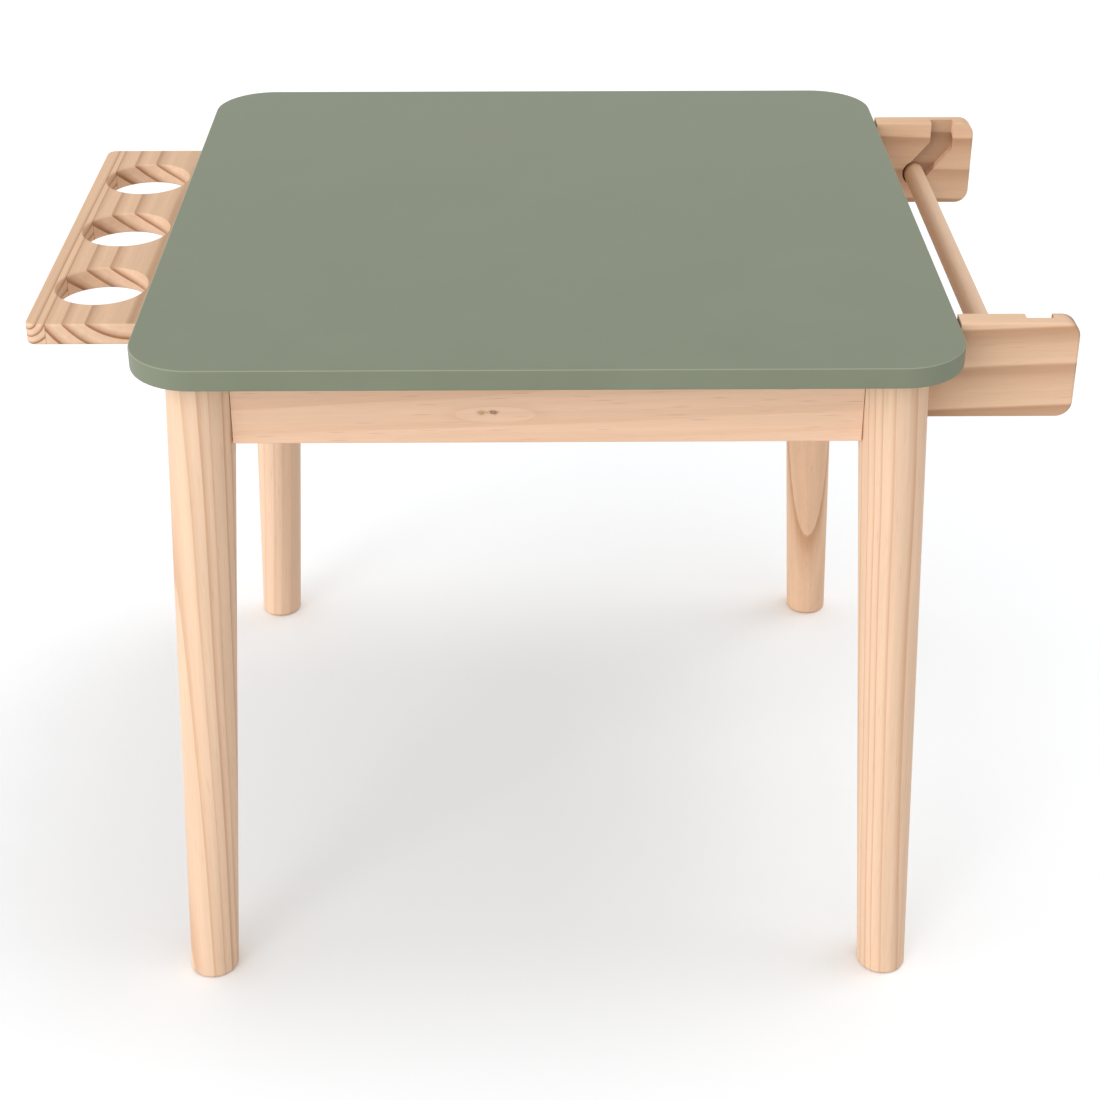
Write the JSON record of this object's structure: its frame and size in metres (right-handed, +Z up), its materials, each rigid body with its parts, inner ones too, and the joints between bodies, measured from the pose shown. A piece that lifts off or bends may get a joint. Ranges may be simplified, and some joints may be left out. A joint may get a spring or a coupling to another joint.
{
  "type": "childrens table",
  "caption": "Square low table with a painted top on splayed tapered legs, a side board with cup holes, and slotted side brackets that carry a lift-out paper-roll rod.",
  "frame": {"origin": "on the floor under the middle of the tabletop", "axes": "+X to the side with the roll brackets, +Y from the front to the rear, +Z up; the cup board is on the -X side"},
  "size_m": [0.78, 0.6, 0.555],
  "materials": {
    "sage_paint": "satin sage green paint on a wooden board",
    "pine": "pale pine under matt clear lacquer",
    "beech": "bare beech dowel",
    "zinc_steel": "zinc-plated steel",
    "brass": "turned brass"
  },
  "bodies": {
    "table": {"tabletop": "sage_paint", "leg_front_left": "pine", "leg_front_right": "pine", "leg_rear_left": "pine", "leg_rear_right": "pine", "apron_front": "pine", "apron_rear": "pine", "apron_left": "pine", "apron_right": "pine", "corner_block_front_left": "pine", "corner_block_front_right": "pine", "corner_block_rear_left": "pine", "corner_block_rear_right": "pine", "cup_board": "pine", "roll_bracket_front": "pine", "roll_bracket_rear": "pine", "apron_dowels": "beech", "block_screws": "zinc_steel", "top_screws": "zinc_steel", "cup_board_screws": "zinc_steel", "hanger_bolts": "zinc_steel", "hanger_washers": "zinc_steel", "hanger_nuts": "zinc_steel", "bracket_bolts": "zinc_steel", "bracket_inserts": "brass"},
    "rod": {"roll_rod": "pine"}
  },
  "joints": [
    {"name": "rod_lift", "type": "slide", "parent": "table", "child": "rod", "axis": [0.5984, 0, 0.8012], "range_m": [0, 0.035]}
  ]
}
